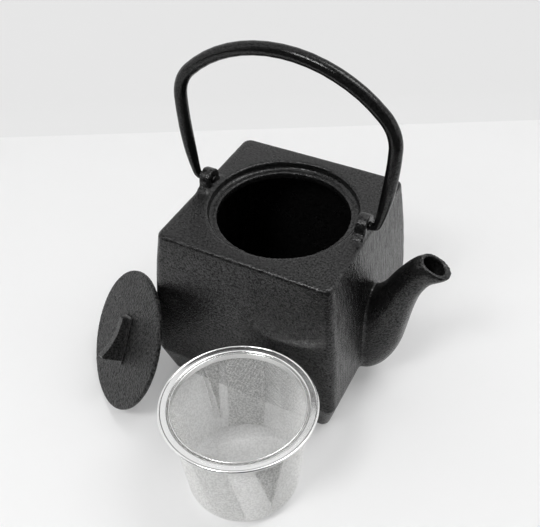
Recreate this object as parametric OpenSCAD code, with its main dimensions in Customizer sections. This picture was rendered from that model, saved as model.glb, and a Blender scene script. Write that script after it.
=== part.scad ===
// Square cast-iron teapot with a swing bail, a drop-in lid and a lift-out
// mesh infuser. The lid leans on a corner of the pot and the infuser stands
// in front of it, as on a table before filling.
// Millimetres. +X points along the spout, +Z up. The origin is the middle of
// the pot's flat base.

/* [Pot body] */
// Width across the flats at the top
body_top_w = 97.5; // [94:0.5:102]
// Width at the widest line, where the underside starts
body_waist_w = 110; // [106:0.5:116]
// Width of the flat base
body_base_w = 100; // [92:0.5:104]
// Height of the body without its lugs
body_h = 103; // [96:1:112]
// Height of the widest line above the base
waist_h = 20; // [14:1:26]
// Bulge of each side wall, halfway between that line and the top
side_swell = 1.2; // [0:0.1:2.5]
// Radius of the four upright corners
corner_r = 4.5; // [3:0.5:9]
// Chamfer round the top face
top_edge = 1.2; // [0.6:0.2:2]
// Thickness of the iron side walls
wall_t = 4; // [3:0.25:5]
// Thickness of the iron floor
floor_t = 5; // [4:0.5:7]

/* [Mouth] */
// Bore of the filling mouth, which the infuser hangs in
mouth_d = 71; // [68:0.5:73]
// Width of the ring the infuser rim and the lid sit on
seat_w = 4.5; // [4:0.25:5]
// Depth of the seat below the top face
seat_depth = 4.6; // [3.5:0.1:6]
// Thickness of the iron under the seat
seat_t = 4; // [3:0.25:5]

/* [Spout] */
// Reach of the spout past the widest line of the body
spout_reach = 38.5; // [34:0.5:44]
// Height of the spout's tip above the base
spout_h = 100; // [92:1:104]
// Width of the spout where it leaves the body
spout_root_w = 28; // [24:1:32]
// Width of the spout across its tip
spout_tip_w = 14; // [12:0.5:17]
// Thickness of the iron round the pouring passage
spout_t = 3; // [2:0.25:3.5]
// Thickness of the lip on its upper, inner side
lip_in_t = 1.6; // [1:0.1:2.5]
// Thickness of the lip on its lower, pouring side
lip_out_t = 3.4; // [3:0.1:5.5]
// Thickness of the lip at its two sides
lip_side_t = 2.2; // [1.4:0.1:3]

/* [Lugs] */
// Thickness of each lug, along the hinge line
lug_t = 6; // [5:0.25:7]
// Outer radius of each lug round its hole
lug_r = 5.9; // [4.6:0.1:6]
// Width of each lug's foot on the top face
lug_foot_w = 19; // [15:0.5:20]
// Gap from the lug's outer side to the side of the body
lug_inset = 0.6; // [0.2:0.1:1.5]
// Height of the hinge line above the top face
hinge_rise = 4; // [3.8:0.1:5]
// Hole through each lug
lug_hole_d = 4.8; // [4.4:0.1:5.2]

/* [Bail handle] */
// Clearance of the bail's ends in the lug holes, on the radius
hinge_gap = 0.3; // [0.1:0.05:0.6]
// Diameter of the bar along the grip
bail_d = 7; // [6:0.25:8]
// Diameter of the bar where it bends into the lugs
bail_neck_d = 4.3; // [4.3:0.1:5]
// Gap from the lug to the start of the bend
bail_side_gap = 1.4; // [1:0.1:3]
// Bend radius of the bar beside each lug
elbow_r = 3.2; // [3:0.1:5]
// Lean of the legs, outward from the lugs
leg_lean = 12.4; // [10:0.2:16]
// Radius along each leg, which brings it upright
leg_r = 210; // [170:5:230]
// Radius of each shoulder
shoulder_r = 22.5; // [18:0.5:28]
// Turn of the bar through each shoulder
shoulder_turn = 46; // [40:1:52]

/* [Lid] */
// Clearance between the lid and the wall of its seat, on the radius
lid_gap = 1.1; // [0.5:0.1:1.5]
// Thickness of the lid
lid_t = 2.6; // [2.2:0.1:4]
// Rounding of the lid's edge
lid_edge_r = 0.8; // [0.4:0.1:1.2]
// Lean of the lid from upright, where it rests on the pot
lid_lean = 30.8; // [24:0.2:38]
// Direction that the lid's face looks in
lid_heading = 230.5; // [222:0.5:238]
// Depth of the locating skirt on the lid's inner side
skirt_h = 3.6; // [2.6:0.2:5]
// Thickness of the skirt
skirt_t = 2.6; // [2:0.2:3.4]
// Clearance of the skirt inside the infuser, on the radius
skirt_gap = 1; // [0.6:0.1:1.6]
// Gap between the leaning lid and the pot
lean_gap = 0.3; // [0.2:0.1:0.6]

/* [Lid knob] */
// Length of the knob along the lid
knob_l = 24.5; // [21:0.5:28]
// Height of the knob at its low end
knob_low_h = 5.2; // [3.5:0.2:6]
// Height of the knob at its tip
knob_tip_h = 12.5; // [10.5:0.5:16]
// Thickness of the knob at its foot
knob_t = 6; // [5:0.25:7]
// Thickness of the knob along its top
knob_top_t = 4.4; // [3.5:0.1:5]
// Width of the low plinth round the knob's foot
plinth_w = 1.4; // [1:0.1:2]
// Height of that plinth
plinth_h = 1; // [0.6:0.1:1.4]
// Turn of the knob on the lid's face
knob_turn = 25; // [-90:1:90]
// Stud that holds the knob to the lid
stud_d = 5; // [4:0.25:6]
// Clearance of the stud in the lid, on the radius
stud_gap = 0.05; // [0.02:0.01:0.1]
// Diameter of the stud's peened head inside the lid
peen_d = 8.4; // [7:0.2:10]
// Height of the peened head
peen_h = 1.2; // [0.8:0.1:1.6]

/* [Infuser] */
// Clearance between the infuser rim and the wall of its seat, on the radius
rim_gap = 1.5; // [1:0.1:2]
// Width of the flat steel rim
rim_w = 4.7; // [4.3:0.1:5.5]
// Thickness of the rim's sheet
sheet_t = 0.6; // [0.5:0.05:0.8]
// Height of the rolled outer edge of the rim
curl_h = 1.4; // [1.2:0.1:2]
// Depth of the rim's collar
collar_h = 4.4; // [4:0.2:6]
// Height of the ring that clamps the mesh in the collar
clamp_h = 3.4; // [2.6:0.2:3.8]
// Thickness of the folded mesh
mesh_t = 0.5; // [0.4:0.05:0.7]
// Gap between the nested layers, on the radius
nest_gap = 0.05; // [0.03:0.01:0.1]
// Height of the infuser
infuser_h = 58.5; // [50:0.5:66]
// Outer diameter of the mesh cup just above its rounded bottom
cup_low_d = 58.5; // [54:0.5:62]
// Radius of the rounded edge at the bottom of the cup
cup_round = 6.5; // [4:0.5:9]
// Place of the infuser's base, along the spout's direction
infuser_x = 24.5; // [10:0.5:32]
// Clear way between the infuser's rim and the front of the pot
infuser_stand_off = 3; // [2:0.5:12]
// Tilt of the infuser, as its uneven mesh bottom lets it stand
infuser_tilt = 3.1; // [0:0.1:4]
// Direction of that tilt
tilt_heading = 124; // [0:1:359]
// Openings in one row round the mesh cup's wall
grid_round = 24; // [12:2:30]
// Rows of openings up the wall
grid_rows = 7; // [4:1:9]
// Openings across the cup's base
grid_base = 7; // [3:2:9]
// Width of the bars between the openings
grid_bar = 1.5; // [1:0.1:2.5]

/* [Hidden] */

iron = [0.08, 0.08, 0.085];
enamel = [0.13, 0.13, 0.135];
steel = [0.8, 0.81, 0.82];
mesh_grey = [0.62, 0.63, 0.64];

eps = 0.01;
skin = 0.02;          // thickness of the thin slabs that a hull spans
corner_fn = 32;
round_fn = 96;

// Pot
seat_d = mouth_d + 2 * seat_w;
seat_z = body_h - seat_depth;
cavity_top = seat_z - seat_t;
base_x = body_waist_w / 2;

// Half the body's width at height z: a straight underside, then a swelling side
function body_half(z) =
    let (rise = (z - waist_h) / (body_h - waist_h))
    z < waist_h
        ? (body_base_w + (body_waist_w - body_base_w) * z / waist_h) / 2
        : (body_waist_w + (body_top_w - body_waist_w) * rise) / 2
            + 4 * side_swell * rise * (1 - rise);

// Heights of the slabs that carry a side from the waist up to a height
side_steps = 6;
function side_heights(top) =
    [for (i = [0 : side_steps]) waist_h + (top - waist_h) * i / side_steps];

// Lugs and hinge line
hinge_z = body_h + hinge_rise;
lug_out_x = body_top_w / 2 - lug_inset;
lug_in_x = lug_out_x - lug_t;
pin_r = lug_hole_d / 2 - hinge_gap;

// Lid and infuser, both sized by the seat and the mouth
lid_r = seat_d / 2 - lid_gap;
rim_r = seat_d / 2 - rim_gap;
rim_in_r = rim_r - rim_w;
collar_r = rim_in_r + sheet_t;
cup_top_r = rim_in_r - nest_gap;
clamp_r = cup_top_r - mesh_t - nest_gap;
infuser_y = -(body_half(infuser_h) + infuser_stand_off + rim_r)
    - infuser_h * sin(infuser_tilt) * sin(tilt_heading);
// Rise of the tilted cup's middle, with its rounded edge on the table
cup_flat_r = cup_low_d / 2 - cup_round;
infuser_rise = cup_flat_r * sin(infuser_tilt) + cup_round * (1 - cos(infuser_tilt));

// A rounded square slab of width w at height z
module slab(w, z, r) {
    for (sx = [-1, 1], sy = [-1, 1])
        translate([sx * (w / 2 - r), sy * (w / 2 - r), z])
            cylinder(h = skin, r = r, $fn = corner_fn);
}

// ---- Spout -------------------------------------------------------------
// Each key gives the spout's underside and top side in its middle plane, as
// shares of its reach past the waist and of its height, and its half width
// as a share of the way from the tip's to the root's.
spout_keys = [
    [[-0.16, 0.040], [-0.19, 0.640], 1.04],
    [[0.02, 0.050], [-0.02, 0.665], 0.98],
    [[0.21, 0.115], [0.09, 0.710], 0.86],
    [[0.36, 0.220], [0.17, 0.765], 0.70],
    [[0.455, 0.345], [0.24, 0.815], 0.54],
    [[0.505, 0.480], [0.31, 0.860], 0.38],
    [[0.56, 0.620], [0.39, 0.905], 0.24],
    [[0.63, 0.735], [0.465, 0.940], 0.13],
    [[0.75, 0.828], [0.520, 0.958], 0.06],
    [[0.91, 0.876], [0.55, 0.966], 0.02],
    [[0.98, 0.904], [0.565, 0.977], -0.04]
];
ring_n = 28;          // points round one section
ring_steps = 3;       // sections between two keys
oval_power = 2.3;     // 2 is an ellipse, and more is squarer
last_key = len(spout_keys) - 1;
lip_keys = 3;         // keys over which the lip's thickness comes in

// Smooth curve through four values, at t from b to c
function through(a, b, c, d, t) =
    b + t * (c - a) / 2
      + t * t * (a - 2.5 * b + 2 * c - d / 2)
      + t * t * t * ((b - c) * 1.5 + (d - a) / 2);

function key_at(list, i) = list[max(0, min(len(list) - 1, i))];

function key_blend(list, u) =
    let (i = min(floor(u), len(list) - 2), t = u - i,
         a = key_at(list, i - 1), b = key_at(list, i),
         c = key_at(list, i + 1), d = key_at(list, i + 2))
    [through(a[0], b[0], c[0], d[0], t),
     through(a[1], b[1], c[1], d[1], t),
     through(a[2], b[2], c[2], d[2], t)];

// Point of the middle plane, from shares of reach and height
function spout_point(share) =
    [base_x + share[0] * spout_reach, share[1] * spout_h];

function spout_half_w(share) =
    (spout_tip_w + (spout_root_w - spout_tip_w) * share) / 2;

// One section: a rounded oval between the under and over points, inside the
// walls left at its under, over and two flank sides
function oval(under, over, half_w, walls) =
    let (up = (over - under) / norm(over - under),
         low = under + walls[0] * up,
         high = over - walls[1] * up,
         mid = (low + high) / 2,
         half = (high - low) / 2)
    [for (k = [0 : ring_n - 1])
        let (a = 360 * k / ring_n, c = cos(a), s = sin(a),
             full = pow(pow(abs(c), oval_power) + pow(abs(s), oval_power), -1 / oval_power))
        [mid[0] + half[0] * c * full,
         (half_w - walls[2]) * s * full,
         mid[1] + half[1] * c * full]];

// Sections from the root to the tip, with the wall going over to the lip's
// thickness along the last keys
function spout_rings(wall, lip) =
    [for (u = [0 : 1 / ring_steps : last_key + eps])
        let (k = key_blend(spout_keys, min(u, last_key)),
             t = max(0, 1 - (last_key - u) / lip_keys))
        oval(spout_point(k[0]), spout_point(k[1]), spout_half_w(k[2]),
             wall + (lip - wall) * t * t * (3 - 2 * t))];

// Closed skin over a list of rings
module ring_skin(rings) {
    n = len(rings[0]);
    m = len(rings);
    points = [for (ring = rings) each ring];
    sides = [for (i = [0 : m - 2], k = [0 : n - 1])
        let (a = i * n + k, b = i * n + (k + 1) % n)
        each [[a, b, b + n], [a, b + n, a + n]]];
    polyhedron(points, concat(sides,
        [[for (k = [n - 1 : -1 : 0]) k]],
        [[for (k = [0 : n - 1]) (m - 1) * n + k]]), convexity = 6);
}

// Pushes the first or the last ring outward, so that a cut runs through
function shifted(ring, by) = [for (p = ring) p + by];

module spout_shell() {
    ring_skin(spout_rings([0, 0, 0], [0, 0, 0]));
}

module spout_passage() {
    rings = spout_rings(spout_t * [1, 1, 1], [lip_out_t, lip_in_t, lip_side_t]);
    last = len(rings) - 1;
    ring_skin(concat([shifted(rings[0], [-wall_t, 0, 0])], rings,
        [shifted(rings[last], [spout_t / 2, 0, spout_t])]));
}

// ---- Pot body ----------------------------------------------------------
module body_outside() {
    hull() {
        slab(body_base_w, 0, corner_r);
        for (z = side_heights(body_h - top_edge))
            slab(2 * body_half(z), z, corner_r);
        slab(body_top_w - 2 * top_edge, body_h - skin, corner_r - top_edge / 2);
    }
}

module body_cavity() {
    inner_r = corner_r - wall_t / 2;
    hull() {
        slab(2 * (body_half(floor_t) - wall_t), floor_t, inner_r);
        for (z = side_heights(cavity_top - skin))
            slab(2 * (body_half(z) - wall_t), z, inner_r);
    }
}

// Lug on the +X side, its foot spreading onto the top face
module lug() {
    foot = lug_foot_w / 2;
    translate([lug_in_x, 0, 0])
        rotate([90, 0, 90])
            linear_extrude(height = lug_t)
                union() {
                    translate([0, hinge_z])
                        circle(r = lug_r, $fn = round_fn);
                    polygon([[-foot, body_h - top_edge],
                             [foot, body_h - top_edge],
                             [foot - 0.8, body_h + 1],
                             [lug_r * 0.94, body_h + hinge_rise * 0.55],
                             [-lug_r * 0.94, body_h + hinge_rise * 0.55],
                             [-foot + 0.8, body_h + 1]]);
                }
}

module pot_body() {
    color(iron)
        difference() {
            union() {
                body_outside();
                spout_shell();
                lug();
                mirror([1, 0, 0]) lug();
            }
            body_cavity();
            intersection() {
                spout_passage();
                translate([base_x - 2 * wall_t - 2, -spout_root_w, 0])
                    cube([spout_reach * 2, 2 * spout_root_w, body_h * 1.2]);
            }
            translate([0, 0, cavity_top - eps])
                cylinder(h = seat_t + seat_depth + 1, d = mouth_d, $fn = round_fn);
            translate([0, 0, seat_z])
                cylinder(h = seat_depth + 1, d = seat_d, $fn = round_fn);
            translate([-body_top_w, 0, hinge_z])
                rotate([0, 90, 0])
                    cylinder(h = 2 * body_top_w, d = lug_hole_d, $fn = round_fn);
        }
}

// ---- Bail handle -------------------------------------------------------
bail_x = lug_out_x + bail_side_gap;          // where the bend starts
elbow_turn = 90 - leg_lean;
shoulder_end = 90 + shoulder_turn;
// Radius of the crown that closes the bail over the middle of the pot
crown_r = (bail_x + elbow_r * sin(elbow_turn) + leg_r * (1 - sin(elbow_turn))
    + shoulder_r * (sin(shoulder_end) - 1)) / sin(shoulder_end);
// Each arc of one half of the bar: its radius, then its first and last heading
bail_arcs = [
    [elbow_r, 0, elbow_turn],
    [leg_r, elbow_turn, 90],
    [shoulder_r, 90, shoulder_end],
    [crown_r, shoulder_end, 180]
];
arc_steps = [5, 8, 8, 8];

function arc_shift(arc, h) = arc[0] * [sin(h) - sin(arc[1]), cos(arc[1]) - cos(h)];

function arc_start(i) = i == 0
    ? [bail_x, 0]
    : arc_start(i - 1) + arc_shift(bail_arcs[i - 1], bail_arcs[i - 1][2]);

// Bar radius at a height above the hinge line: full by the height of the legs
leg_h = arc_start(2)[1];
function bar_r(h) =
    let (t = min(1, max(0, h / (leg_h * 0.6))))
    (bail_neck_d + (bail_d - bail_neck_d) * t * (2 - t)) / 2;

// Middle line of one half, as [x, height, heading]
half_bail = [for (i = [0 : 3], k = [0 : arc_steps[i] - (i < 3 ? 1 : 0)])
    let (arc = bail_arcs[i],
         h = arc[1] + (arc[2] - arc[1]) * k / arc_steps[i],
         p = arc_start(i) + arc_shift(arc, h))
    [p[0], p[1], h]];
bail_line = concat(half_bail,
    [for (i = [len(half_bail) - 2 : -1 : 0])
        [-half_bail[i][0], half_bail[i][1], 360 - half_bail[i][2]]]);

bar_n = 14;
function bar_ring(p) = [for (k = [0 : bar_n - 1])
    let (a = 360 * k / bar_n, r = bar_r(p[1]))
    [p[0] - r * cos(a) * sin(p[2]), r * sin(a), p[1] + r * cos(a) * cos(p[2])]];

module bail_handle() {
    color(iron)
        translate([0, 0, hinge_z]) {
            ring_skin([for (p = bail_line) bar_ring(p)]);
            for (side = [0, 1])
                mirror([side, 0, 0])
                    translate([lug_in_x - 1, 0, 0])
                        rotate([0, 90, 0])
                            cylinder(h = bail_x + 1 - lug_in_x + eps,
                                     r = pin_r, $fn = round_fn);
        }
}

// ---- Lid and knob ------------------------------------------------------
// Locating skirt, which fits inside the infuser's clamp ring
skirt_r = clamp_r - sheet_t - skirt_gap;
// Height at which the skirt's edge meets the corner of the pot, and the
// corner's rounded face there, measured along the diagonal
lean_z = (lid_r + skirt_r) * cos(lid_lean) - skirt_h * sin(lid_lean);
corner_face = body_half(lean_z) - corner_r + corner_r * sin(45);
heading = [cos(lid_heading), sin(lid_heading)];
lid_place = [-corner_face, -corner_face]
    + (lean_gap + skirt_r * sin(lid_lean) + skirt_h * cos(lid_lean)) * heading;

// Puts the lid's inner face down on the lean, facing away from the pot
module leaning() {
    translate([lid_place[0], lid_place[1], lid_r * cos(lid_lean)])
        rotate([0, 0, lid_heading])
            rotate([0, 90 - lid_lean, 0])
                children();
}

module lid() {
    color(enamel)
        leaning()
            difference() {
                rotate_extrude($fn = round_fn)
                    polygon([[0, 0], [skirt_r - skirt_t, 0],
                             [skirt_r - skirt_t, -skirt_h], [skirt_r, -skirt_h],
                             [skirt_r, 0], [lid_r - lid_edge_r, 0],
                             [lid_r - lid_edge_r * 0.3, lid_edge_r * 0.3],
                             [lid_r, lid_edge_r], [lid_r, lid_t - lid_edge_r],
                             [lid_r - lid_edge_r * 0.3, lid_t - lid_edge_r * 0.3],
                             [lid_r - lid_edge_r, lid_t], [0, lid_t]]);
                translate([0, 0, -1])
                    cylinder(h = lid_t + 2, d = stud_d + 2 * stud_gap, $fn = round_fn);
            }
}

// Side outline of the knob: a hollow back that rises to a blunt tip
knob_rise = knob_tip_h - knob_low_h;
knob_back = [for (t = [0 : 0.125 : 1])
    [-knob_l / 2 + (knob_l - 1.6) * t, knob_low_h + knob_rise * pow(t, 2.2)]];
knob_side = concat([[-knob_l / 2, plinth_h / 2]], knob_back,
    [[knob_l / 2 - 0.4, knob_tip_h - 1], [knob_l / 2, plinth_h / 2]]);

module knob_plate(t) {
    translate([0, t / 2, 0])
        rotate([90, 0, 0])
            linear_extrude(height = t)
                polygon(knob_side);
}

module lid_knob() {
    color(enamel)
        leaning()
            rotate([0, 0, knob_turn]) {
                translate([0, 0, lid_t])
                    knob_plate(knob_top_t);
                translate([0, 0, lid_t])
                    intersection() {
                        knob_plate(knob_t);
                        rotate([90, 0, 90])
                            translate([0, 0, -knob_l])
                                linear_extrude(height = 2 * knob_l)
                                    polygon([[-knob_t / 2, 0], [knob_t / 2, 0],
                                             [knob_top_t / 2, knob_low_h],
                                             [-knob_top_t / 2, knob_low_h]]);
                    }
                translate([-knob_l / 2 - plinth_w, -knob_t / 2 - plinth_w, lid_t])
                    cube([knob_l + 2 * plinth_w, knob_t + 2 * plinth_w, plinth_h]);
                translate([0, 0, -peen_h / 2])
                    cylinder(h = lid_t + plinth_h, d = stud_d, $fn = round_fn);
                translate([0, 0, -peen_h])
                    cylinder(h = peen_h, d1 = peen_d * 0.6, d2 = peen_d, $fn = round_fn);
            }
}

// ---- Infuser -----------------------------------------------------------
module standing_infuser() {
    translate([infuser_x, infuser_y, infuser_rise])
        rotate([0, 0, tilt_heading])
            rotate([0, infuser_tilt, 0])
                children();
}

module infuser_rim() {
    color(steel)
        standing_infuser() rotate_extrude($fn = round_fn)
            polygon([[rim_in_r, infuser_h - collar_h],
                     [collar_r, infuser_h - collar_h],
                     [collar_r, infuser_h - sheet_t],
                     [rim_r - sheet_t, infuser_h - sheet_t],
                     [rim_r - sheet_t, infuser_h - curl_h],
                     [rim_r, infuser_h - curl_h],
                     [rim_r, infuser_h - 0.2],
                     [rim_r - 0.2, infuser_h],
                     [rim_in_r + 0.2, infuser_h],
                     [rim_in_r, infuser_h - 0.2]]);
}

module infuser_clamp_ring() {
    top = infuser_h - 0.4;
    color(steel)
        standing_infuser() rotate_extrude($fn = round_fn)
            polygon([[clamp_r - sheet_t, top - clamp_h], [clamp_r, top - clamp_h],
                     [clamp_r, top], [clamp_r - sheet_t, top]]);
}

// Points of a quarter round from straight down to sideways
function quarter(cx, cz, r) =
    [for (a = [0 : 15 : 90]) [cx + r * sin(a), cz - r * cos(a)]];

// Cutters for the rows of openings round the cup's wall
module wall_openings() {
    low = cup_round + grid_bar;
    pitch = (infuser_h - collar_h - low) / grid_rows;
    in_r = cup_low_d / 4;
    out_r = cup_top_r + 1;
    half = 180 / grid_round - asin(grid_bar / cup_low_d);
    for (row = [0 : grid_rows - 1], k = [0 : grid_round - 1])
        translate([0, 0, low + row * pitch])
            rotate([0, 0, k * 360 / grid_round])
                linear_extrude(height = pitch - grid_bar)
                    polygon([for (p = [[in_r, -half], [out_r, -half],
                                       [out_r, half], [in_r, half]])
                             p[0] * [cos(p[1]), sin(p[1])]]);
}

// Cutters for the openings of the cup's flat base
module base_openings() {
    pitch = 2 * cup_flat_r / grid_base;
    side = pitch - grid_bar;
    last = (grid_base - 1) / 2;
    for (i = [-last : last], j = [-last : last])
        if (norm([abs(i) * pitch + side / 2, abs(j) * pitch + side / 2]) < cup_flat_r)
            translate([i * pitch - side / 2, j * pitch - side / 2, -1])
                cube([side, side, mesh_t + 2]);
}

module infuser_mesh() {
    neck_z = infuser_h - collar_h;
    outside = quarter(cup_flat_r, cup_round, cup_round);
    inside = quarter(cup_flat_r, cup_round, cup_round - mesh_t);
    color(mesh_grey)
        standing_infuser()
            difference() {
                rotate_extrude($fn = round_fn)
                    polygon(concat([[0, 0]], outside,
                        [[cup_top_r, neck_z], [cup_top_r, infuser_h - 0.6],
                         [cup_top_r - mesh_t, infuser_h - 0.6],
                         [cup_top_r - mesh_t, neck_z]],
                        [for (i = [len(inside) - 1 : -1 : 0]) inside[i]],
                        [[0, mesh_t]]));
                wall_openings();
                base_openings();
            }
}

pot_body();
bail_handle();
lid();
lid_knob();
infuser_rim();
infuser_clamp_ring();
infuser_mesh();
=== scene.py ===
import math

import bpy
import numpy as np
from mathutils import Matrix, Vector


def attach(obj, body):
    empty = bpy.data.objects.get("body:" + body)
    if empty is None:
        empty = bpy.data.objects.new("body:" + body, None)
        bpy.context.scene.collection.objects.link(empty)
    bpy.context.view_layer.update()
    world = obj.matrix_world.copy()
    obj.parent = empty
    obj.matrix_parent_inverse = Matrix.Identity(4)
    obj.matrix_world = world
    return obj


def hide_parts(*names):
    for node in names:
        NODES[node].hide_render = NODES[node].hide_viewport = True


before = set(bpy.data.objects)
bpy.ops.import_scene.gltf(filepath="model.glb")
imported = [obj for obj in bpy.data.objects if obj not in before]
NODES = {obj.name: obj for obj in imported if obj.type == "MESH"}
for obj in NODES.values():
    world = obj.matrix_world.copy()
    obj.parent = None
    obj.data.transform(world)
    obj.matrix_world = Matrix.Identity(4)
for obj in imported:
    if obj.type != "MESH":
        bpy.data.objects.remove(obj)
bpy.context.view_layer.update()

MM = 0.001
TAU = 2 * math.pi


# ---- Camera ------------------------------------------------------------------
PHOTO_W = 540                      # width of the picture in pixels
FOCAL_PX = 753.45                  # focal length in the same pixels
CAMERA_PLACE = (0.14154, -0.27691, 0.35138)
CAMERA_YAW = math.radians(28.57)   # turn about +Z, from looking along +Y
CAMERA_PITCH = math.radians(42.95)  # below the horizon
CAMERA_ROLL = math.radians(-1.87)


def make_camera():
    data = bpy.data.cameras.new("camera")
    data.sensor_fit = "HORIZONTAL"
    data.sensor_width = 36
    data.lens = data.sensor_width * FOCAL_PX / PHOTO_W
    data.clip_start = 0.01
    camera = bpy.data.objects.new("camera", data)
    turn = (Matrix.Rotation(CAMERA_YAW, 4, "Z")
            @ Matrix.Rotation(math.pi / 2 - CAMERA_PITCH, 4, "X")
            @ Matrix.Rotation(CAMERA_ROLL, 4, "Z"))
    camera.matrix_world = Matrix.Translation(CAMERA_PLACE) @ turn
    bpy.context.scene.collection.objects.link(camera)
    bpy.context.scene.camera = camera


# ---- Material helpers ----------------------------------------------------------
class Shader:
    """A node material, with short calls for the nodes that the finishes share."""

    def __init__(self, name):
        self.material = bpy.data.materials.new(name)
        self.material.use_nodes = True
        self.nodes = self.material.node_tree.nodes
        self.links = self.material.node_tree.links
        self.bsdf = self.nodes["Principled BSDF"]
        where = self.nodes.new("ShaderNodeTexCoord")
        self.place, self.facing = where.outputs["Object"], where.outputs["Normal"]

    def link(self, out, socket):
        self.links.new(out, socket)

    def scaled(self, x, y, z):
        node = self.nodes.new("ShaderNodeMapping")
        node.inputs["Scale"].default_value = (x, y, z)
        self.link(self.place, node.inputs["Vector"])
        return node.outputs["Vector"]

    def noise(self, scale, detail, rough, at=None):
        node = self.nodes.new("ShaderNodeTexNoise")
        node.inputs["Scale"].default_value = scale
        node.inputs["Detail"].default_value = detail
        node.inputs["Roughness"].default_value = rough
        self.link(at or self.place, node.inputs["Vector"])
        return node.outputs["Fac"]

    def part(self, vector, axis):
        """One axis of a vector."""
        node = self.nodes.new("ShaderNodeSeparateXYZ")
        self.link(vector, node.inputs[0])
        return node.outputs[axis]

    def ramp(self, value, stops):
        node = self.nodes.new("ShaderNodeValToRGB")
        band = node.color_ramp
        while len(band.elements) < len(stops):
            band.elements.new(0.5)
        for element, (at, colour) in zip(band.elements, stops):
            element.position = at
            element.color = (*colour, 1) if isinstance(colour, tuple) else (colour,) * 3 + (1,)
        self.link(value, node.inputs["Fac"])
        return node.outputs["Color"]

    def math(self, kind, a, b):
        node = self.nodes.new("ShaderNodeMath")
        node.operation = kind
        for socket, value in zip(node.inputs, (a, b)):
            if isinstance(value, (int, float)):
                socket.default_value = value
            else:
                self.link(value, socket)
        return node.outputs[0]

    def bump(self, height, distance, under=None):
        node = self.nodes.new("ShaderNodeBump")
        node.inputs["Strength"].default_value = 1.0
        node.inputs["Distance"].default_value = distance
        self.link(height, node.inputs["Height"])
        if under:
            self.link(under, node.inputs["Normal"])
        return node.outputs["Normal"]


def finish_object(obj, material, body):
    """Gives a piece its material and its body."""
    obj.data.materials.clear()
    obj.data.materials.append(material)
    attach(obj, body)


# ---- Cast iron -----------------------------------------------------------------
STREAK_SCALE = (750, 750, 75)      # lines drawn down the spout's side, per metre
STREAK_SHARE = 0.55                # how far they change the skin's tone
FOOT_SHADE_GLOSS = 0.55                  # painted shade: share of the gloss that is left at the pot's foot
WEAR_SCALE = 90                    # patches of rougher and smoother enamel, per metre
TONE_STOPS = (0.40, 0.60)          # levels of the skin where its tone starts and ends
SHINE_STOPS = ((0.36, 0.16), (0.50, 0.60), (0.62, 1.0))  # and its share of the gloss


def iron(name, tones, rough, gloss, grain, depth, streaks=0.0):
    """Satin black enamel on sand-cast iron. Tones are those of its hollows and
    its tops, grain is the size of the cast pimples in metres, depth their
    height, streaks that of the lines drawn down the spout's side, and gloss the
    specular level of the pimples' tops. Streaks also turn on painted shade at
    the foot, where the gloss is turned down towards the bottom."""
    s = Shader(name)
    pimples = s.noise(1 / grain, 2, 0.5)
    sand = s.noise(2.2 / grain, 2, 0.5)
    skin = s.math("ADD", s.math("MULTIPLY", pimples, 0.7), s.math("MULTIPLY", sand, 0.3))
    normal = s.bump(pimples, depth)
    normal = s.bump(sand, depth * 0.4, under=normal)
    if streaks:
        side = s.math("POWER", s.math("MAXIMUM", s.part(s.facing, "X"), 0), 6)
        lines = s.math("SUBTRACT", s.noise(1.0, 2, 0.5, at=s.scaled(*STREAK_SCALE)), 0.5)
        lines = s.math("MULTIPLY", lines, side)
        skin = s.math("ADD", skin, s.math("MULTIPLY", lines, STREAK_SHARE))
        normal = s.bump(lines, streaks, under=normal)
    s.link(s.ramp(skin, list(zip(TONE_STOPS, tones))), s.bsdf.inputs["Base Color"])
    shine = s.ramp(skin, [(at, share * gloss) for at, share in SHINE_STOPS])
    # Painted shade: the gloss is turned down towards the pot's foot, so the iron reads darker
    # towards the bottom.
    if streaks:
        height = s.math("MULTIPLY", s.part(s.place, "Z"), 10)
        foot = s.ramp(height, [(0.15, FOOT_SHADE_GLOSS), (0.70, 1.0)])
        shine = s.math("MULTIPLY", shine, foot)
    s.link(shine, s.bsdf.inputs["Specular IOR Level"])
    worn = s.noise(WEAR_SCALE, 4, 0.6)
    s.link(s.ramp(worn, [(0.3, rough - 0.04), (0.7, rough + 0.05)]),
           s.bsdf.inputs["Roughness"])
    s.bsdf.inputs["IOR"].default_value = 1.5
    s.link(normal, s.bsdf.inputs["Normal"])
    return s.material


def clouds(size):
    texture = bpy.data.textures.new("cast_clouds", "CLOUDS")
    texture.noise_scale = size
    texture.noise_depth = 2
    return texture


def cast(name, nodes, voxel, smooth, waves, triangles, material, body):
    """A cast piece: the CAD solids remeshed, their edges worn round, and their
    skin moved by a few waves, each given as its size and its height."""
    parts = []
    for node in nodes:
        part = NODES[node].copy()
        part.data = NODES[node].data.copy()
        part.parent = None
        for key in list(part.keys()):
            del part[key]
        bpy.context.scene.collection.objects.link(part)
        parts.append(part)
    bpy.ops.object.select_all(action="DESELECT")
    for part in parts:
        part.select_set(True)
    bpy.context.view_layer.objects.active = parts[0]
    if len(parts) > 1:
        bpy.ops.object.join()
    obj = bpy.context.view_layer.objects.active
    obj.name = name
    obj.data.name = name
    remesh = obj.modifiers.new("skin", "REMESH")
    remesh.mode = "VOXEL"
    remesh.voxel_size = voxel
    soften = obj.modifiers.new("soften", "SMOOTH")
    soften.factor = 0.5
    soften.iterations = smooth
    for size, height in waves:
        wave = obj.modifiers.new("wave", "DISPLACE")
        wave.texture = clouds(size)
        wave.texture_coords = "LOCAL"
        wave.strength = height
    baked = bpy.data.meshes.new_from_object(
        obj.evaluated_get(bpy.context.evaluated_depsgraph_get()))
    obj.modifiers.clear()
    obj.data = baked
    count = sum(len(p.vertices) - 2 for p in baked.polygons)
    if count > triangles:
        fewer = obj.modifiers.new("fewer", "DECIMATE")
        fewer.ratio = triangles / count
        obj.data = bpy.data.meshes.new_from_object(
            obj.evaluated_get(bpy.context.evaluated_depsgraph_get()))
        obj.modifiers.clear()
    obj.data.shade_smooth()
    finish_object(obj, material, body)
    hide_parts(*nodes)


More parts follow.
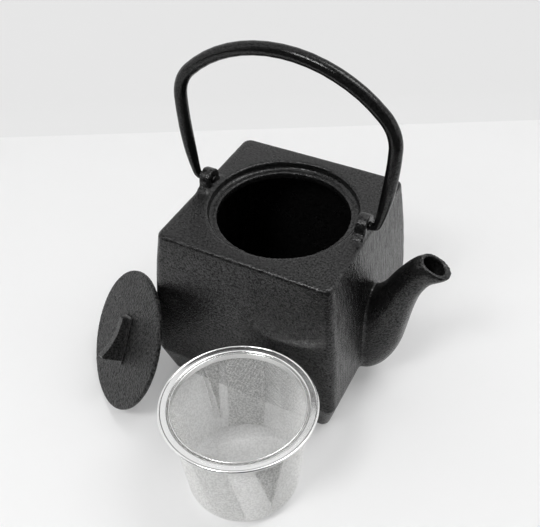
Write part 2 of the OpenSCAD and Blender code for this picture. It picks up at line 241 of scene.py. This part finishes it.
def make_iron():
    pot = iron("pot_iron", (0.0016, 0.0120), 0.24, 0.72, 0.00100, 0.00020,
               streaks=0.00028)
    bail = iron("handle_iron", (0.0016, 0.0060), 0.18, 0.55, 0.0008, 0.00005)
    lid = iron("lid_iron", (0.0030, 0.0320), 0.30, 0.45, 0.00125, 0.00095)
    cast("pot_casting", ["pot_body"], 0.8 * MM, 5, [(0.030, 0.0003), (0.006, 0.00012)],
         190000, pot, "pot")
    cast("bail_bar", ["bail_handle"], 0.32 * MM, 34, [(0.012, 0.00018), (0.004, 0.00006)],
         150000, bail, "bail")
    cast("lid_disc", ["lid"], 0.4 * MM, 2, [(0.020, 0.00018), (0.0011, 0.00022)],
         190000, lid, "lid")
    knob = iron("knob_iron", (0.0020, 0.0200), 0.30, 1.00, 0.0009, 0.00022)
    cast("knob_fin", ["lid_knob"], 0.28 * MM, 3, [(0.006, 0.00016), (0.0012, 0.00006)],
         90000, knob, "lid")


# ---- Infuser -------------------------------------------------------------------
# Its sizes repeat the solids'. Heights are above the middle of the cup's base.
TOP = 58.5 * MM                    # height of the rim
RIM_R = 38.5 * MM
COLLAR_R = 33.8 * MM               # inside of the collar
COLLAR_H = 4.4 * MM
SHEET = 0.6 * MM
BEAD_R = 0.75 * MM                 # rolled outer edge
CLAMP_R = 33.15 * MM
CLAMP_H = 3.4 * MM
CUP_TOP_R = 33.5 * MM              # middle of the cloth
CUP_LOW_R = 29.0 * MM
CUP_ROUND = 6.25 * MM
LATHE_TURNS = 256
SHARP_EDGE = math.radians(35)


def ring_frame(node):
    """Matrix that puts a round piece, drawn about +Z at the height TOP, on the
    axis of a flat round CAD node, with its top on that node's top."""
    co = np.empty(len(NODES[node].data.vertices) * 3)
    NODES[node].data.vertices.foreach_get("co", co)
    co = co.reshape(-1, 3)
    middle = co.mean(0)
    _, _, axes = np.linalg.svd(co - middle, full_matrices=False)
    up = axes[2] * np.sign(axes[2][2])
    side = np.cross([0, 1, 0], up)
    side /= np.linalg.norm(side)
    turn = np.stack([side, np.cross(up, side), up])
    flat = (co - middle) @ turn.T
    centre = (flat.min(0) + flat.max(0)) / 2
    centre[2] = flat[:, 2].max() - TOP
    matrix = Matrix(turn.T.tolist()).to_4x4()
    matrix.translation = Vector(middle + centre @ turn)
    return matrix


def mesh_object(name, points, faces):
    mesh = bpy.data.meshes.new(name)
    mesh.from_pydata(points, [], faces)
    mesh.shade_smooth()
    mesh.set_sharp_from_angle(angle=SHARP_EDGE)
    mesh.validate()
    obj = bpy.data.objects.new(name, mesh)
    bpy.context.scene.collection.objects.link(obj)
    return obj


def lathe(name, outline, place):
    """A closed outline of (radius, height) turned round the axis."""
    points = []
    for k in range(LATHE_TURNS):
        a = TAU * k / LATHE_TURNS
        points += [place @ Vector((r * math.cos(a), r * math.sin(a), z)) for r, z in outline]
    n = len(outline)
    faces = []
    for k in range(LATHE_TURNS):
        low, high = k * n, (k + 1) % LATHE_TURNS * n
        for i in range(n):
            j = (i + 1) % n
            faces.append((low + i, high + i, high + j, low + j))
    return mesh_object(name, points, faces)


def arc(cx, cz, radius, start, end, steps):
    """Points of an arc in the (radius, height) plane, with angles in degrees."""
    return [(cx + radius * math.cos(math.radians(start + (end - start) * i / steps)),
             cz + radius * math.sin(math.radians(start + (end - start) * i / steps)))
            for i in range(steps + 1)]


def make_rim(place, steel):
    flange_z = TOP - 0.25 * MM
    turn_r = 1.0 * MM
    inner_x = COLLAR_R + turn_r
    outline = (arc(RIM_R - BEAD_R, TOP - BEAD_R, BEAD_R, 150, -150, 18)
               + [(RIM_R - 2.6 * MM, flange_z - SHEET), (inner_x + 0.4 * MM, flange_z - SHEET)]
               + arc(inner_x, flange_z - turn_r, turn_r - SHEET, 90, 180, 5)
               + [(COLLAR_R + SHEET * 0.7, TOP - COLLAR_H)]
               + arc(COLLAR_R + SHEET / 2, TOP - COLLAR_H, SHEET / 2, 0, -180, 4)[1:]
               + [(COLLAR_R, TOP - COLLAR_H + 0.3 * MM)]
               + arc(inner_x, flange_z - turn_r, turn_r, 180, 90, 8)
               + [(inner_x + 0.9 * MM, flange_z + 0.03 * MM),
                  (RIM_R - 3.0 * MM, flange_z), (RIM_R - 1.9 * MM, flange_z - 0.12 * MM)])
    rim = lathe("rim_flange", outline, place)
    finish_object(rim, steel, "infuser")
    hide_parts("infuser_rim")
    top = TOP - 0.4 * MM
    bead = SHEET / 2
    band = (arc(CLAMP_R - bead, top - bead, bead, 0, 180, 8)
            + [(CLAMP_R - SHEET, top - CLAMP_H), (CLAMP_R, top - CLAMP_H)])
    clamp = lathe("clamp_band", band, place)
    finish_object(clamp, steel, "infuser")
    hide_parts("infuser_clamp_ring")


# Cloth: square-woven wire, laid on the cup by its length s from the middle of
# the base and its angle round the axis
PITCH = 0.70 * MM
WIRE_R = 0.115 * MM
CRIMP = 0.10 * MM
FLAT_R = CUP_LOW_R - CUP_ROUND
BEND_S = FLAT_R + CUP_ROUND * math.pi / 2      # where the rounded edge ends
NECK_Z = TOP - COLLAR_H
WALL_L = math.hypot(NECK_Z - CUP_ROUND, CUP_TOP_R - CUP_LOW_R)
END_S = BEND_S + WALL_L + 3.2 * MM             # held in the clamp ring
OVAL = 0.25 * MM                   # how far the wall is out of round
CREASE_R = 0.75 * MM               # half the width of a pressed crease
WRAP = (276, 60)                   # wires crossed on the way round the wall
SECOND_WRAP = (240, 150)           # the same for the layers laid over it
THIRD_WRAP = (262, 108)
SEAM_WRAP = (226, 168)
SECOND_LIFT = 0.36 * MM            # places of those layers off the wall
THIRD_LIFT = 0.70 * MM
SEAM_LIFT = 0.40 * MM
SEAM_WIRE_R = 0.13 * MM
EDGE_LIFT = 0.6 * MM               # folded edges
EDGE_R = 0.17 * MM
BASE_TURN = math.radians(33)       # of the base's weave
# Patches where the cloth lies double, as corners of (angle, height) on the wall:
# degrees and millimetres
NEAR_FOLD = [(-51, 54.2), (-23.5, 54.2), (-33.9, 13.4)]
FAR_FOLD = [(151.5, 54.2), (137.5, 54.2), (140.9, 38.9), (143.7, 16.0)]
FAR_SEAM = [(131.5, 54.2), (95.5, 54.2), (94.5, 26.0), (97, 6.3), (137, 6.3), (133.2, 18.2)]
NEAR_SEAM = [(-72, 54.2), (-108, 54.2), (-94, 8.0), (-60, 8.0)]
# Pressed creases: angle and height at the top and at the foot, and the depth
CREASES = [((154.9, 52.0), (150.5, 17.0), 1.3), ((150.2, 51.0), (143.7, 14.0), 1.5)]
FOLD_LINES = [((-51, 54.0), (-33.9, 13.4)), ((-23.5, 54.0), (-33.9, 13.4)),
              ((-33.9, 13.4), (-34.7, 3.0)), ((154.9, 52.5), (150.5, 19.0)),
              ((151.0, 53.0), (143.7, 16.0)), ((137.5, 53.5), (140.9, 38.9)),
              ((140.9, 38.9), (143.7, 16.0))]


def profile(s):
    """Radius, height and outward normal of the cloth at length s."""
    bend = np.clip((s - FLAT_R) / CUP_ROUND, 0, math.pi / 2)
    lean = math.atan2(CUP_TOP_R - CUP_LOW_R, NECK_Z - CUP_ROUND)
    wall = np.clip(s - BEND_S, 0, WALL_L)
    neck = np.maximum(s - BEND_S - WALL_L, 0)
    radius = (np.minimum(s, FLAT_R) + CUP_ROUND * np.sin(bend) + wall * math.sin(lean))
    height = CUP_ROUND * (1 - np.cos(bend)) + wall * math.cos(lean) + neck
    return radius, height, np.sin(bend), -np.cos(bend)


def cloth(theta, s, lift):
    """Places of points on the cup, lifted outward along the normal."""
    radius, height, out, down = profile(s)
    free = np.clip((height - CUP_ROUND) / (NECK_Z - CUP_ROUND), 0, 1)
    radius = radius + OVAL * np.sin(2 * theta + 1.0) * np.sin(math.pi * free)
    for (top_a, top_z), (low_a, low_z), depth in CREASES:
        share = (height / MM - low_z) / (top_z - low_z)
        middle = np.radians(low_a + (top_a - low_a) * share)
        off = (theta - middle + math.pi) % TAU - math.pi
        lens = np.sin(math.pi * np.clip(share, 0, 1)) ** 0.7
        radius = radius - depth * MM * lens * np.exp(-(off * radius / CREASE_R) ** 2)
    radius = radius + lift * out
    return np.stack([radius * np.cos(theta), radius * np.sin(theta), height + lift * down], -1)


def wires(name, lines, place, material, radius=WIRE_R):
    """One mesh of thin square-sided wires, each line an array of points."""
    sides = 4
    matrix = np.array(place)
    points, faces, start = [], [], 0
    for line in lines:
        line = line @ matrix[:3, :3].T + matrix[:3, 3]
        along = np.gradient(line, axis=0)
        along /= np.linalg.norm(along, axis=1, keepdims=True)
        side = np.cross(along, matrix[:3, 2] + [0.31, 0.17, 0.0])
        side /= np.linalg.norm(side, axis=1, keepdims=True)
        over = np.cross(side, along)
        turn = (np.arange(sides) + 0.5) * TAU / sides
        ring = (line[:, None] + radius * (np.cos(turn)[None, :, None] * side[:, None]
                                          + np.sin(turn)[None, :, None] * over[:, None]))
        n = len(line)
        points.append(ring.reshape(-1, 3))
        k = np.arange(n - 1)[:, None] * sides + start
        i = np.arange(sides)[None]
        j = (i + 1) % sides
        faces.append(np.stack([k + i, k + j, k + sides + j, k + sides + i], -1).reshape(-1, 4))
        cap = np.arange(sides)
        faces.append(np.stack([start + cap[::-1], start + (n - 1) * sides + cap]))
        start += n * sides
    points = np.concatenate(points)
    faces = np.concatenate(faces)
    mesh = bpy.data.meshes.new(name)
    mesh.vertices.add(len(points))
    mesh.vertices.foreach_set("co", points.astype(np.float32).ravel())
    mesh.loops.add(faces.size)
    mesh.loops.foreach_set("vertex_index", faces.astype(np.int32).ravel())
    mesh.polygons.add(len(faces))
    mesh.polygons.foreach_set("loop_start", np.arange(0, faces.size, 4, dtype=np.int32))
    mesh.update(calc_edges=True)
    mesh.validate()
    mesh.shade_smooth()
    obj = bpy.data.objects.new(name, mesh)
    bpy.context.scene.collection.objects.link(obj)
    finish_object(obj, material, "infuser")
    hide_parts("infuser_mesh")


def wall_lattice(first, second, wrap):
    """Angle and length along the wall of the crossing (first, second)."""
    round_n = math.hypot(*wrap)
    cos, sin = wrap[0] / round_n, wrap[1] / round_n
    return TAU * (first * cos - second * sin) / round_n, PITCH * (first * sin + second * cos)


def wall_wires(wrap):
    """The two sets of wires of the wall, as lists of (angle, s, crimp sign)."""
    m, n = wrap
    round_n = math.hypot(m, n)
    cos, sin = m / round_n, n / round_n
    rows = (END_S - BEND_S) / PITCH
    steep, level = [], []
    for i in range(m):
        j = np.arange(math.ceil(-i * sin / cos), math.floor((rows - i * sin) / cos) + 1)
        theta, s = wall_lattice(i, j, wrap)
        steep.append((theta, BEND_S + s, 1 - 2 * ((i + j) % 2)))
    for j in range(n):
        i = np.arange(math.ceil(-j * cos / sin), math.floor((rows - j * cos) / sin) + 1)
        theta, s = wall_lattice(i, j, wrap)
        level.append((theta, BEND_S + s, 2 * ((i + j) % 2) - 1))
    return steep, level


def base_wires(turn):
    """The two sets of wires of the base, laid over its rounded edge."""
    reach = BEND_S + 0.9 * MM
    count = int(reach / PITCH)
    sets = ([], [])
    for i in range(-count, count + 1):
        half = int(math.sqrt(max(0, reach ** 2 - (i * PITCH) ** 2)) / PITCH)
        if half < 2:
            continue
        j = np.arange(-half, half + 1)
        for swap, lines in enumerate(sets):
            x, y = (i + 0 * j, j) if swap else (j, i + 0 * j)
            s = PITCH * np.hypot(x, y)
            sign = (1 - 2 * ((i + j) % 2)) * (1 - 2 * swap)
            lines.append((np.arctan2(y, x) + turn, s, sign))
    return sets


def in_patch(theta, height, corners):
    """Which points of the wall lie inside a patch."""
    middle = sum(c[0] for c in corners) / len(corners)
    x = (np.degrees(theta) - middle + 180) % 360 - 180
    y = height / MM
    inside = np.zeros(len(x), bool)
    for (x1, y1), (x2, y2) in zip(corners, corners[1:] + corners[:1]):
        if y1 != y2:
            cross = (x1 - middle) + (y - y1) * (x2 - x1) / (y2 - y1)
            inside ^= ((y1 > y) != (y2 > y)) & (x < cross)
    return inside


def patch_wires(lift, wrap, corners):
    """Wires of one more layer of cloth, kept inside a patch of the wall."""
    steep, level = wall_wires(wrap)
    kept = []
    for theta, s, sign in steep + level:
        _, height, _, _ = profile(s)
        inside = in_patch(theta, height, corners)
        runs = np.split(np.arange(len(s)), np.nonzero(np.diff(inside.astype(int)))[0] + 1)
        kept += [cloth(theta[r], s[r], lift + CRIMP * sign[r])
                 for r in runs if inside[r[0]] and len(r) > 2]
    return kept


def fold_lines(lift):
    """The folded edges: straight lines on the wall from corner to corner."""
    s = np.linspace(FLAT_R, BEND_S + WALL_L, 400)
    _, height, _, _ = profile(s)
    lines = []
    for (top_a, top_z), (low_a, low_z) in FOLD_LINES:
        on = (height > low_z * MM) & (height < top_z * MM)
        share = (height[on] / MM - low_z) / (top_z - low_z)
        theta = np.radians(low_a + (top_a - low_a) * share)
        side = 1 if top_a < 0 else -1
        lines.append(cloth(theta, s[on], np.full(on.sum(), side * lift)))
    return lines


def make_cloth(place, material, fold_shade_steel, seam_shade_steel):
    steep, level = wall_wires(WRAP)
    wires("mesh_wall_steep", [cloth(t, s, CRIMP * c) for t, s, c in steep], place, material)
    wires("mesh_wall_level", [cloth(t, s, CRIMP * c) for t, s, c in level], place, material)
    along, across = base_wires(BASE_TURN)
    wires("mesh_base", [cloth(t, s, CRIMP * c) for t, s, c in along + across],
          place, material)
    near = patch_wires(SECOND_LIFT, SECOND_WRAP, NEAR_FOLD)
    near += patch_wires(THIRD_LIFT, THIRD_WRAP, NEAR_FOLD)
    far = patch_wires(-SECOND_LIFT, SECOND_WRAP, FAR_FOLD)
    far += patch_wires(-THIRD_LIFT, THIRD_WRAP, FAR_FOLD)
    # The folds and their folded edges take a darker copy of the wire steel: painted shade
    # between the layers.
    wires("mesh_fold", near + far, place, fold_shade_steel)
    # The far seam's double layer takes a darker copy of the wire steel: painted shade between
    # its layers.
    wires("mesh_seam", patch_wires(-SEAM_LIFT, SEAM_WRAP, FAR_SEAM), place, seam_shade_steel,
          radius=SEAM_WIRE_R)
    wires("mesh_seam_near", patch_wires(SECOND_LIFT, SEAM_WRAP, NEAR_SEAM), place, material)
    wires("mesh_fold_edges", fold_lines(EDGE_LIFT), place, fold_shade_steel, radius=EDGE_R)


def bright_steel():
    """Polished sheet steel with faint turned lines."""
    s = Shader("rim_steel")
    s.bsdf.inputs["Metallic"].default_value = 1.0
    s.bsdf.inputs["Base Color"].default_value = (0.96, 0.96, 0.955, 1)
    haze = s.noise(160, 4, 0.6)
    s.link(s.ramp(haze, [(0.3, 0.18), (0.7, 0.26)]), s.bsdf.inputs["Roughness"])
    s.link(s.bump(s.noise(900, 2, 0.5), 0.00001), s.bsdf.inputs["Normal"])
    return s.material


def wire_steel(name, dark, light, size=1.0 * MM):
    """Drawn stainless wire: satin, so that it also scatters light. Dark and
    light are the ends of its tone, which changes over the given size. The
    darker copies paint the shade where the cloth lies double."""
    s = Shader(name)
    s.bsdf.inputs["Metallic"].default_value = 0.25
    tone = s.noise(1 / size, 1, 0.5)
    s.link(s.ramp(tone, [(0.40, dark), (0.60, light)]), s.bsdf.inputs["Base Color"])
    s.bsdf.inputs["Roughness"].default_value = 0.32
    return s.material


def make_infuser():
    place = ring_frame("infuser_rim")
    make_rim(place, bright_steel())
    # The fold and seam copies of the wire steel are darker than the cloth: painted shade where
    # the cloth lies double.
    make_cloth(place, wire_steel("mesh_steel", (0.78, 0.78, 0.77), (1.0, 1.0, 0.99)),
               wire_steel("fold_steel_painted_shade", (0.52, 0.52, 0.51), (0.90, 0.90, 0.89)),
               wire_steel("seam_steel_painted_shade", (0.58, 0.58, 0.57), (1.0, 1.0, 0.99), 0.9 * MM))


# ---- Floor, backdrop and light -------------------------------------------------
FLOOR_SHOWN = 0.885                # the paper's plain level, as the camera sees it
WALL_SHOWN = 0.805
WALL_GAP = 0.545                   # backdrop's foot, along the floor from the camera
WALL_BEND = 0.020                  # radius where the backdrop turns up
BEND_STEPS = 12
WALL_SHARE = 0.9                   # share of the backdrop shown at its plain level
FLOOR_ALBEDO, WALL_ALBEDO = 0.88, 0.82
STAGE_REACH, WALL_HEIGHT = 1.6, 1.2
EVEN_SHARE = 0.23                  # share of the paper that no shadow reaches
# In reflections alone, the room is dark on the photographer's side and the table
# ends there. The camera sees both pale. It is fixed in the room.
DARK_AHEAD = (0.17, 0.25)          # where the table's reflection fades out
DARK_TOWARD = Vector((0.30, -0.88, 0.22)).normalized()
DARK_CONE = (0.42, 0.66)           # cosines of the dark room's edge
DARK_LEVEL = 0.10
WORLD_LIGHT = 0.50                 # the world as a light on surfaces
WORLD_SHOWN = 0.95                 # the world as the camera sees it, and as
                                   # reflections do outside the dark cone
LAMP_TARGET = (0.0, 0.0, 0.05)
OVERHEAD = (0.35, 0.45, 1.25), (0.9, 0.7), 10.2     # place, size and watts
KEY = (-0.10, -0.55, 0.80), (0.22, 0.22), 2.8


def either(tree, *values):
    total = values[0]
    for value in values[1:]:
        both = tree.nodes.new("ShaderNodeMath")
        both.operation = "MAXIMUM"
        tree.links.new(total, both.inputs[0])
        tree.links.new(value, both.inputs[1])
        total = both.outputs[0]
    return total


def ranged(tree, value, start, end, low, high):
    """Maps a value from start..end to low..high, softly at both ends."""
    node = tree.nodes.new("ShaderNodeMapRange")
    node.interpolation_type = "SMOOTHSTEP"
    for name, number in (("From Min", start), ("From Max", end),
                         ("To Min", low), ("To Max", high)):
        node.inputs[name].default_value = number
    tree.links.new(value, node.inputs["Value"])
    return node.outputs["Result"]


def distance_along(tree, place, direction):
    """How far a place lies along a direction."""
    node = tree.nodes.new("ShaderNodeVectorMath")
    node.operation = "DOT_PRODUCT"
    node.inputs[1].default_value = direction
    tree.links.new(place, node.inputs[0])
    return node.outputs["Value"]


def times(tree, a, b):
    node = tree.nodes.new("ShaderNodeMath")
    node.operation = "MULTIPLY"
    tree.links.new(a, node.inputs[0])
    if isinstance(b, float):
        node.inputs[1].default_value = b
    else:
        tree.links.new(b, node.inputs[1])
    return node.outputs[0]


def mixed(tree, share, first, second):
    mix = tree.nodes.new("ShaderNodeMixShader")
    tree.links.new(share, mix.inputs[0])
    tree.links.new(first, mix.inputs[1])
    tree.links.new(second, mix.inputs[2])
    return mix.outputs[0]


def paper(name, albedo, shown, share, ends=False, one_sided=False):
    """Matt paper, partly shown at its plain level so that it stays pale. Where
    it ends, its reflection fades out on the photographer's side. A one-sided
    sheet is clear from its back."""
    material = bpy.data.materials.new(name)
    material.use_nodes = True
    tree = material.node_tree
    bsdf = tree.nodes["Principled BSDF"]
    bsdf.inputs["Base Color"].default_value = (albedo, albedo, albedo, 1)
    bsdf.inputs["Roughness"].default_value = 0.9
    bsdf.inputs["Specular IOR Level"].default_value = 0.0
    glow = tree.nodes.new("ShaderNodeEmission")
    glow.inputs["Color"].default_value = (shown, shown, shown, 1)
    rays = tree.nodes.new("ShaderNodeLightPath").outputs
    looking = either(tree, rays["Is Camera Ray"], rays["Is Glossy Ray"],
                     rays["Is Transmission Ray"])
    out = mixed(tree, times(tree, looking, share), bsdf.outputs[0], glow.outputs[0])
    if ends:
        dark = tree.nodes.new("ShaderNodeEmission")
        dark.inputs["Color"].default_value = (DARK_LEVEL,) * 3 + (1,)
        place = tree.nodes.new("ShaderNodeTexCoord").outputs["Object"]
        toward = Vector((math.sin(CAMERA_YAW), -math.cos(CAMERA_YAW), 0))
        far = ranged(tree, distance_along(tree, place, toward), *DARK_AHEAD, 0, 1)
        out = mixed(tree, times(tree, far, rays["Is Glossy Ray"]), out, dark.outputs[0])
    if one_sided:
        back = tree.nodes.new("ShaderNodeNewGeometry").outputs["Backfacing"]
        clear = tree.nodes.new("ShaderNodeBsdfTransparent")
        out = mixed(tree, back, out, clear.outputs[0])
    tree.links.new(out, tree.nodes["Material Output"].inputs["Surface"])
    return material


def make_stage():
    """A sheet of paper, and a paper wall across the view behind the object."""
    ahead = Vector((-math.sin(CAMERA_YAW), math.cos(CAMERA_YAW), 0))
    across = Vector((ahead.y, -ahead.x, 0))
    foot = Vector((CAMERA_PLACE[0], CAMERA_PLACE[1], 0)) + WALL_GAP * ahead
    left, right = foot - STAGE_REACH * across, foot + STAGE_REACH * across
    near, far = -2 * STAGE_REACH * ahead, STAGE_REACH * ahead
    floor = mesh_object("floor", [left + near, right + near, right + far, left + far],
                        [(0, 1, 2, 3)])
    floor.data.materials.append(paper("floor_paper", FLOOR_ALBEDO, FLOOR_SHOWN, EVEN_SHARE,
                                      ends=True))
    points, faces = [], []
    for k in range(BEND_STEPS + 2):
        turn = math.radians(min(k, BEND_STEPS) * 90 / BEND_STEPS)
        step = ahead * WALL_BEND * math.sin(turn)
        step.z = WALL_BEND * (1 - math.cos(turn)) if k <= BEND_STEPS else WALL_HEIGHT
        points += [left + step, right + step]
        if k:
            faces.append((2 * k - 2, 2 * k - 1, 2 * k + 1, 2 * k))
    wall = mesh_object("backdrop", points, faces)
    wall.data.materials.append(paper("backdrop_paper", WALL_ALBEDO, WALL_SHOWN,
                                     WALL_SHARE, one_sided=True))


def area_light(name, place, size, power):
    data = bpy.data.lights.new(name, "AREA")
    data.shape = "RECTANGLE"
    data.size, data.size_y = size
    data.energy = power
    lamp = bpy.data.objects.new(name, data)
    lamp.location = place
    aim = Vector(LAMP_TARGET) - Vector(place)
    lamp.rotation_euler = aim.to_track_quat("-Z", "Y").to_euler()
    bpy.context.scene.collection.objects.link(lamp)


def make_light():
    world = bpy.data.worlds.new("studio")
    world.use_nodes = True
    bpy.context.scene.world = world
    tree = world.node_tree
    lit = tree.nodes["Background"]
    lit.inputs["Strength"].default_value = WORLD_LIGHT
    shown = tree.nodes.new("ShaderNodeBackground")
    way = tree.nodes.new("ShaderNodeTexCoord").outputs["Generated"]
    level = ranged(tree, distance_along(tree, way, DARK_TOWARD), *DARK_CONE,
                   WORLD_SHOWN, DARK_LEVEL)
    lit.inputs["Color"].default_value = shown.inputs["Color"].default_value = (1, 1, 1, 1)
    rays = tree.nodes.new("ShaderNodeLightPath").outputs
    level = either(tree, level, times(tree, rays["Is Camera Ray"], WORLD_SHOWN))
    tree.links.new(level, shown.inputs["Strength"])
    looking = either(tree, rays["Is Camera Ray"], rays["Is Glossy Ray"],
                     rays["Is Transmission Ray"])
    out = mixed(tree, looking, lit.outputs[0], shown.outputs[0])
    tree.links.new(out, tree.nodes["World Output"].inputs["Surface"])
    area_light("overhead", *OVERHEAD)
    area_light("key", *KEY)


make_camera()
make_iron()
make_infuser()
make_stage()
make_light()
bpy.context.scene.view_settings.view_transform = "Standard"
